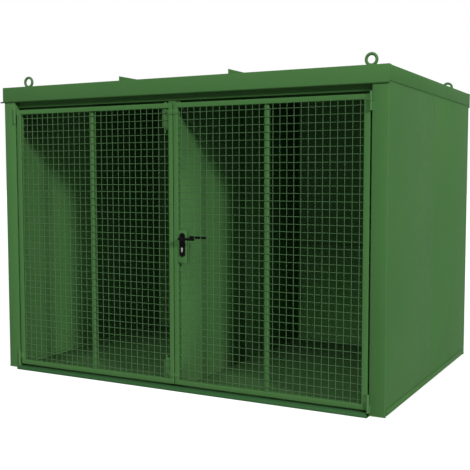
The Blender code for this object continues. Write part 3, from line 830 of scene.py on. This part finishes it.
    def lugs(self) -> None:
        """Make the leaf's half of the meeting stops, and its tab on the top rail."""
        k = 0 if self.side is Side.LEFT else 1
        (x0, x1), (a, b) = self.stop_x[k], self.tab_x[k]
        y1, outer = self.low.y - 0.0002, (x0, x1)[k]
        shape, welds = Shape(), Shape()
        for z0, z1 in self.stop_z:
            shape.box((x0, y1 - 0.0032, z0), (x1, y1, z1), 0.0007)
            welds.bead((outer, y1 - 0.0002, z0 + 0.003), (outer, y1 - 0.0002, z1 - 0.003), 0.0018)
        y, z = self.low.y + self.tab_in, self.high.z
        shape.box((a, y - 0.0015, z + 0.0001), (b, y + 0.0015, z + 0.0165), 0.0006)
        welds.bead((a + 0.002, y - 0.0018, z + 0.0003), (b - 0.002, y - 0.0018, z + 0.0003), 0.0013)
        shape.piece(f"{self.side.word}_meeting_stops", self.side.leaf, Finish.TUBE)
        welds.piece(f"{self.side.word}_stop_welds", self.side.leaf, Finish.WELD)

    def build(self) -> None:
        """Make the whole leaf."""
        self.frame_tubes()
        self.wires()
        self.stiffener()
        self.lugs()


@dataclass
class HingeSet:
    """Two lift-off barrels on one side: pinned halves on the post, bored halves on the leaf."""

    side: Side
    radius: float = 0.0085
    pin: float = 0.005
    tab: float = 0.0014
    reach: float = 0.036     # from the pin to the end of the leaf's tab
    stub: float = 0.017      # from the pin to the end of the post's tab
    chamfer: float = 0.0011
    tab_round: float = 0.006
    tab_rim: float = 0.0004

    def half(self, node: str, body: Body, span: Pair, tab_z: Pair, way: int, bore: float) -> None:
        """Make one half: barrel, tab with rounded corners, and its welds.

        Args:
            node: its CAD node.
            body: its body.
            span: foot and top of its barrel.
            tab_z: foot and top of its tab.
            way: +1 for a tab towards +X, else -1.
            bore: radius of its bore, or 0.
        """
        low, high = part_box(node)
        x = (low.x if way > 0 else high.x) + way * self.radius
        y = low.y + self.radius
        shape, welds = Shape(), Shape()
        shape.turned_rod((x, y, span[0]), (x, y, span[1]), self.radius, self.chamfer, bore, 32)
        if not bore:
            shape.turned_rod((x, y, span[1] - 0.004), (x, y, high.z), self.pin, 0.0012, 0.0, 20)
        end = x + way * (self.reach if bore else self.stub)
        y_tab = high.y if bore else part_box(f"front_{self.side.word}_corner_panel")[0].y - 0.0003
        part = bmesh.new()
        a, b = sorted((x + way * self.radius * 0.55, end))
        cube(part, (a, y_tab - self.tab, tab_z[0]), (b, y_tab, tab_z[1]))
        bevel(part, [e for e in part.edges if all(abs(v.co.x - end) < 1e-6 for v in e.verts)
                     and abs(e.verts[0].co.y - e.verts[1].co.y) > 1e-6], self.tab_round, 5)
        bevel(part, sharp(part, 50), self.tab_rim)
        shape.join(part)
        shape.piece(f"{node}_barrel", body, Finish.FORGED, [node])
        root = x + way * self.radius * 0.9
        y = y_tab - self.tab - 0.0004
        welds.bead((root, y, tab_z[0] + 0.003), (root, y, tab_z[1] - 0.003), 0.0015)
        for z in tab_z:
            welds.bead((root + way * 0.006, y_tab - 0.0002, z),
                       (end - way * 0.007, y_tab - 0.0002, z), 0.001)
        welds.piece(f"{node}_welds", body, Finish.WELD)

    def build(self) -> None:
        """Make both hinges, with a fine gap between their halves."""
        d = self.side.value
        for level in ("upper", "lower"):
            post, leaf = (f"{self.side.word}_{kind}_hinge_{level}" for kind in ("post", "leaf"))
            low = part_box(post)[0].z
            mid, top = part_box(leaf)[0].z - 0.0003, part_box(leaf)[1].z
            self.half(post, Body.CAGE, (low, mid - 0.0004), (low + 0.004, mid - 0.004), d, 0)
            self.half(leaf, self.side.leaf, (mid + 0.0004, top), (mid + 0.004, top - 0.016), -d,
                      self.pin + 0.0003)


@dataclass
class LockSet:
    """Lock case, long plates, keyed cylinder, face plate and strike, and the two levers."""

    grip: float = 0.009
    bend: float = 0.014
    reach: float = 0.05
    collar: float = 0.0105
    rotor: float = 0.0064
    dome: float = 0.006      # length of the lever's rounded end
    tongues: tuple[Pair, Pair] = ((1.078, 0.026), (1.012, 0.034))  # z and length of both bolts

    def plates(self) -> None:
        """Make case, plates and cylinder in their CAD outline with softened rims."""
        for node, edge, steps, word, finish in (
                ("lock_case", 0.0012, 2, "welded", Finish.TUBE),
                ("outer_lock_plate", 0.0018, 3, "moulded", Finish.GRIP),
                ("inner_lock_plate", 0.0018, 3, "moulded", Finish.GRIP),
                ("lock_cylinder", 0.0004, 1, "plated", Finish.NICKEL)):
            Shape().carry(node, edge, steps, 60.0).piece(f"{node}_{word}", Body.RIGHT, finish,
                                                         [node])

    def cylinder(self) -> None:
        """Make the cylinder's turning plug at both ends, with black key slot shapes on it as
        painted shade.
        """
        low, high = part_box("lock_cylinder")
        x = (low.x + high.x) / 2
        z = high.z - (high.x - low.x) / 2
        plugs, keyway_shades = Shape(), Shape()
        for y, out in ((low.y, -1), (high.y, 1)):
            rim = [(0, -0.001), (self.rotor, -0.001), (self.rotor, 0.0003),
                   (self.rotor - 0.0006, 0.0006), (0, 0.0006)]
            plugs.lathe(rim, (x, y, z), (0, out, 0), 28)
            a, b = sorted((y + out * 0.0003, y + out * 0.00072))
            # black key slot shapes standing proud of the plug: painted shade
            keyway_shades.box((x - 0.0007, a, z - 0.004), (x + 0.0007, b, z + 0.0034), 0.0001, 1)
            keyway_shades.box((x - 0.0014, a, z - 0.0008), (x + 0.0007, b, z + 0.0006), 0.0001, 1)
        plugs.piece("cylinder_plugs", Body.RIGHT, Finish.NICKEL)
        keyway_shades.piece("cylinder_keyways", Body.RIGHT, Finish.KEYWAY_SHADE)

    def edge_plates(self) -> None:
        """Make the lock's face plate on the meeting edge and the strike opposite it."""
        low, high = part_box("lock_case")
        y = (low.y + high.y) / 2
        z0, z1 = low.z - 0.012, high.z + 0.012
        edges = ((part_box("right_leaf_frame")[0].x, -1, "lock_face_plate", Body.RIGHT),
                 (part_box("left_leaf_frame")[1].x, 1, "strike_plate", Body.LEFT))
        for x, out, name, body in edges:
            plate, parts = Shape(), Shape()
            a, b = sorted((x, x + out * 0.0008))
            plate.box((a, y - 0.012, z0), (b, y + 0.012, z1), 0.0003, 1)
            for z in (z0 + 0.01, z1 - 0.01):
                parts.lathe([(0, 0), (0.004, 0), (0.0036, 0.0013), (0.0016, 0.0015),
                             (0.0014, 0.0009), (0, 0.0009)], (x, y, z), (out, 0, 0), 16)
            for z, tall in self.tongues:
                parts.box((a, y - 0.007, z - tall / 2),
                          (b + 0.0004 * max(out, 0), y + 0.007, z + tall / 2), 0.0002, 1)
            plate.piece(name, body, Finish.ZINC)
            parts.piece(f"{name}_fittings", body, Finish.NICKEL)

    def lever(self, node: str, face: float, out: int) -> None:
        """Make one lever: a round bar out of the plate, one bend and a domed end.

        Args:
            node: its CAD node.
            face: outer face of the plate.
            out: -1 for the outside, +1 for the inside.
        """
        low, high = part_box(node)
        z = (low.z + high.z) / 2
        x = low.x + self.collar
        part = bmesh.new()
        root = Matrix.Translation((x, face - out * self.dome, z))
        bmesh.ops.create_circle(part, cap_ends=False, segments=28, radius=self.grip,
                                matrix=root @ Matrix.Rotation(pi / 2, 4, "X"))

        def pull(loop: list[Edge], vec: Vector) -> list[Edge]:
            """Pull a ring of edges along.

            Args:
                loop: the ring.
                vec: how far.

            Returns:
                The new ring.
            """
            geom = bmesh.ops.extrude_edge_only(part, edges=loop)["geom"]
            bmesh.ops.translate(part, vec=vec, verts=[g for g in geom if isinstance(g, Vert)])
            return [g for g in geom if isinstance(g, Edge) and all(v in geom for v in g.verts)]

        run = self.reach - self.bend + self.dome
        edges = pull(part.edges[:], Vector((0, out * run, 0)))
        verts = list({v for e in edges for v in e.verts})
        spun = bmesh.ops.spin(part, geom=verts + edges, axis=(0, 0, 1), steps=12,
                              cent=(x + self.bend, face + out * (self.reach - self.bend), z),
                              angle=radians(-90 * out))["geom_last"]
        edges = [g for g in spun if isinstance(g, Edge)]
        edges = pull(edges, Vector((high.x - self.dome - x - self.bend, 0, 0)))
        for step in range(1, 6):
            angle, last = radians(18 * step), radians(18 * (step - 1))
            edges = pull(edges, Vector((self.dome * (sin(angle) - sin(last)), 0, 0)))
            verts = list({v for e in edges for v in e.verts})
            centre = sum((v.co for v in verts), Vector()) / len(verts)
            want = self.grip - self.dome * (1 - cos(angle))
            have = max((v.co - centre).length for v in verts)
            bmesh.ops.scale(part, vec=(1, want / have, want / have), verts=verts,
                            space=Matrix.Translation(-centre))
        bmesh.ops.contextual_create(part, geom=edges)
        bmesh.ops.contextual_create(part, geom=[e for e in part.edges if e.is_boundary])
        bmesh.ops.recalc_face_normals(part, faces=part.faces)
        shape = Shape()
        shape.join(part)
        c = self.collar
        shape.lathe([(0, -0.006), (c, -0.006), (c, 0.0075), (c - 0.0006, 0.0086),
                     (c - 0.0006, 0.009), (c, 0.0096), (c - 0.0002, 0.0108),
                     (self.grip, 0.012), (0, 0.012)], (x, face, z), (0, out, 0), 32)
        shape.piece(f"{node}_moulded", Body.HANDLE, Finish.GRIP, [node], 40.0)

    def build(self) -> None:
        """Make the whole lock."""
        self.plates()
        self.cylinder()
        self.edge_plates()
        self.lever("outer_lever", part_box("outer_lock_plate")[0].y, -1)
        self.lever("inner_lever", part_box("inner_lock_plate")[1].y, 1)


@dataclass
class BoltSet:
    """The fixed leaf's two bolts: plate, sliding bar with a thumb knob, and two guide loops."""

    bar_x: float = -0.08
    bar_r: float = 0.008
    plate_w: float = 0.056
    tips: Pair = (0.01, 0.0095)    # how far the bars stand out of the leaf

    def build(self) -> None:
        """Make the top and the bottom bolt."""
        leaf_low, leaf_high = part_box("left_leaf_frame")
        for word, up, out in (("top", 1, self.tips[0]), ("bottom", -1, self.tips[1])):
            node = f"{word}_bolt_plate"
            low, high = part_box(node)
            plate = Shape().carry(node, 0.0007)
            bmesh.ops.scale(plate.bm, verts=plate.bm.verts,
                            vec=(self.plate_w / (high.x - low.x), 1, 1),
                            space=Matrix.Translation((-high.x, 0, 0)))
            plate.piece(f"{node}_cut", Body.LEFT, Finish.TUBE, [node])
            y = high.y + self.bar_r + 0.0004
            tip = (leaf_high.z if up > 0 else leaf_low.z) + up * out
            foot = (low.z if up > 0 else high.z) - up * 0.02
            bar = Shape()
            bar.turned_rod((self.bar_x, y, foot), (self.bar_x, y, tip), self.bar_r, 0.002)
            knob = (low.z + high.z) / 2
            bar.turned_rod((self.bar_x, y, knob), (self.bar_x, y + 0.03, knob), 0.0045)
            bar.piece(f"{word}_bolt_bar", Body.LEFT, Finish.FORGED)
            loops = Shape()
            for z in (low.z + 0.03, high.z - 0.03):
                loops.turned_rod((self.bar_x, y, z - 0.008), (self.bar_x, y, z + 0.008),
                                 self.bar_r + 0.003, 0.0008, self.bar_r + 0.0004)
            loops.piece(f"{word}_bolt_guides", Body.LEFT, Finish.FORGED)


@dataclass
class LiftingEyes:
    """Four forged eyes: a ring on a flared neck and a round collar."""

    mean: float = 0.035
    bar: float = 0.01
    collar: float = 0.025

    def build(self) -> None:
        """Make the four eyes."""
        turns = [2 * pi * k / 16 for k in range(17)]
        loop = [(self.mean + self.bar * cos(a), self.bar * sin(a)) for a in turns]
        for node in (f"lifting_eye_{row}_{side.word}" for row in ("front", "rear")
                     for side in Side):
            low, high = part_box(node)
            x, y = (low.x + high.x) / 2, (low.y + high.y) / 2
            ring_z = high.z - self.mean - self.bar
            foot, c, eye = ring_z - self.mean - low.z, self.collar, Shape()
            eye.lathe(loop, (x, y, ring_z), (0, 1, 0), 48)
            eye.lathe([(0, 0), (c - 0.001, 0), (c, 0.001), (c, 0.009),
                       (c - 0.0012, 0.0112), (c - 0.0035, 0.012), (0.0165, 0.0126),
                       (0.0125, 0.015), (0.0108, foot + 0.002), (0, foot + 0.004)],
                      (x, y, low.z), (0, 0, 1), 36)
            eye.piece(f"{node}_forged", Body.CAGE, Finish.FORGED, [node], 50.0)


@dataclass
class RoofFittings:
    """Rivets along the fascias' flanges, the side seam's screws and the drain spout."""

    spacing: float = 0.3
    head: float = 0.0045
    seam_x: float = 0.444    # the roof's standing seams, which take no rivet
    screw_y: Pair = (-0.104, -0.012)
    screw_z: float = 2.057

    def rivet(self, shape: Shape, place: Point, axis: Point) -> None:
        """Add one blind rivet with its sunk stem.

        Args:
            shape: shape to add to.
            place: its seat.
            axis: the way up.
        """
        r = self.head
        shape.lathe([(r, 0), (r * 0.92, 0.0008), (r * 0.62, 0.0016), (r * 0.34, 0.0018),
                     (r * 0.3, 0.001), (0, 0.001)], place, axis, 14)

    def build(self) -> None:
        """Make the rivets, the seam's screws and the spout."""
        rivets = Shape()
        front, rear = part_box("fascia_front"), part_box("fascia_rear")
        for box, y in ((front, front[1].y - 0.012), (rear, rear[0].y + 0.012)):
            count = int((box[1].x - box[0].x - 0.1) / self.spacing) + 1
            start = (box[0].x + box[1].x) / 2 - self.spacing * (count - 1) / 2
            for k in range(count):
                x = start + self.spacing * k
                if abs(abs(x) - self.seam_x) > 0.02:
                    self.rivet(rivets, (x, y, box[1].z), (0, 0, 1))
        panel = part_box("front_right_corner_panel")[1].x
        for sx in (-1, 1):
            for y in self.screw_y:
                self.rivet(rivets, (sx * panel, y, self.screw_z), (sx, 0, 0))
        rivets.piece("sheet_rivets", Body.CAGE, Finish.FORGED, smooth=50.0)
        low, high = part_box("drain_spout")
        y, z, r = (low.y + high.y) / 2, (low.z + high.z) / 2, (high.z - low.z) / 2
        tube = Shape()
        tube.turned_rod((high.x, y, z), (low.x, y, z), r, 0.0006, 0.0035)
        tube.turned_rod((high.x, y, z), (high.x - 0.006, y, z), r + 0.0022, 0.0008, r - 0.0003)
        tube.piece("drain_spout_tube", Body.CAGE, Finish.RUBBER, ["drain_spout"])


@dataclass
class Studio:
    """Camera, lights, the pale floor and the white behind it."""

    place: Triple = (3.1296, -5.9601, 1.5171)
    pitch: float = -4.35
    yaw: float = 27.492
    lens: float = 63.53
    shift: Pair = (-0.02684, 0.0074)
    ground: float = 0.36     # the floor's grey
    glow: float = 0.87       # what camera and mirror rays see on top of it
    sky: float = 0.12
    sun: float = 2.37
    sun_way: Triple = (-1.43, 0.76, -0.62)

    def camera(self) -> None:
        """Set the photograph's view."""
        data = bpy.data.cameras.new("view")
        data.lens, data.sensor_width = self.lens, 36.0
        data.shift_x, data.shift_y = self.shift
        obj = bpy.data.objects.new("view", data)
        obj.location = self.place
        obj.rotation_euler = (radians(90 + self.pitch), 0.0, radians(self.yaw))
        bpy.context.scene.collection.objects.link(obj)
        bpy.context.scene.camera = obj

    def seen(self, g: Graph) -> Socket:
        """Give 1 for camera, mirror and glass rays and 0 for light's own paths.

        Args:
            g: graph to add to.

        Returns:
            The 1 or 0.
        """
        path = g.add("ShaderNodeLightPath", {}).outputs
        total = g.maths(path["Is Camera Ray"], path["Is Glossy Ray"], "MAXIMUM")
        return g.maths(total, path["Is Transmission Ray"], "MAXIMUM")

    def world(self) -> None:
        """White to look at, a plain soft grey as light."""
        g = Graph("studio", "worlds")
        g.set(color=WHITE, strength=g.span(self.seen(g), 0.0, 1.0, self.sky))
        bpy.context.scene.world = g.mat

    def floor(self) -> None:
        """A wide pale floor that clips to white and keeps a soft shadow."""
        bm = bmesh.new()
        bmesh.ops.create_grid(bm, x_segments=1, y_segments=1, size=60.0,
                              matrix=Matrix.Translation((0, 0, -0.0005)))
        mesh = bpy.data.meshes.new("studio_floor")
        bm.to_mesh(mesh)
        bm.free()
        obj = bpy.data.objects.new("studio_floor", mesh)
        bpy.context.scene.collection.objects.link(obj)
        g = Graph("studio_floor")
        g.set(base_color=rgba(WHITE, self.ground), roughness=1.0, specular_ior_level=0.0,
              emission_color=WHITE,
              emission_strength=g.maths(self.seen(g), self.glow))
        mesh.materials.append(g.mat)

    def lamp(self, name: str, kind: str, energy: float, place: Point,
             aim: Point = (0, 0, 0), **settings: object) -> None:
        """Hang one lamp and point it.

        Args:
            name: its name.
            kind: SUN or AREA.
            energy: its strength.
            place: where it hangs.
            aim: where it looks.
            settings: other properties.
        """
        data = bpy.data.lights.new(name, kind)
        data.energy = energy
        for key, value in settings.items():
            setattr(data, key, value)
        obj = bpy.data.objects.new(name, data)
        obj.location = place
        obj.rotation_mode = "QUATERNION"
        obj.rotation_quaternion = (Vector(aim) - Vector(place)).to_track_quat("-Z", "Y")
        obj.visible_camera = obj.visible_glossy = False
        bpy.context.scene.collection.objects.link(obj)

    def build(self) -> None:
        """Set up the whole studio."""
        scene = bpy.context.scene
        scene.view_settings.view_transform = "Standard"
        self.camera()
        self.world()
        self.floor()
        way = Vector(self.sun_way).normalized()
        self.lamp("key", "SUN", self.sun, -way * 10, angle=radians(7.0))
        self.lamp("soft_front", "SUN", 1.6, (0.6, -7.2, 6.9), angle=radians(34.0))
        self.lamp("soft_back", "SUN", 0.6, (-5.0, 8.0, 5.0), angle=radians(40.0))
        self.lamp("inner_fill", "AREA", 6.0, (0, -1.0, 0.85), (0, 1.0, 0.85),
                  shape="RECTANGLE", size=2.6, size_y=1.4)


def main() -> None:
    """Build every sub-assembly in order."""
    logging.basicConfig(level=logging.INFO, format="%(message)s")
    SheetWork().build()
    for side in Side:
        DoorLeaf(side).build()
        HingeSet(side).build()
    LockSet().build()
    BoltSet().build()
    LiftingEyes().build()
    RoofFittings().build()
    Studio().build()


if __name__ == "__main__":
    main()
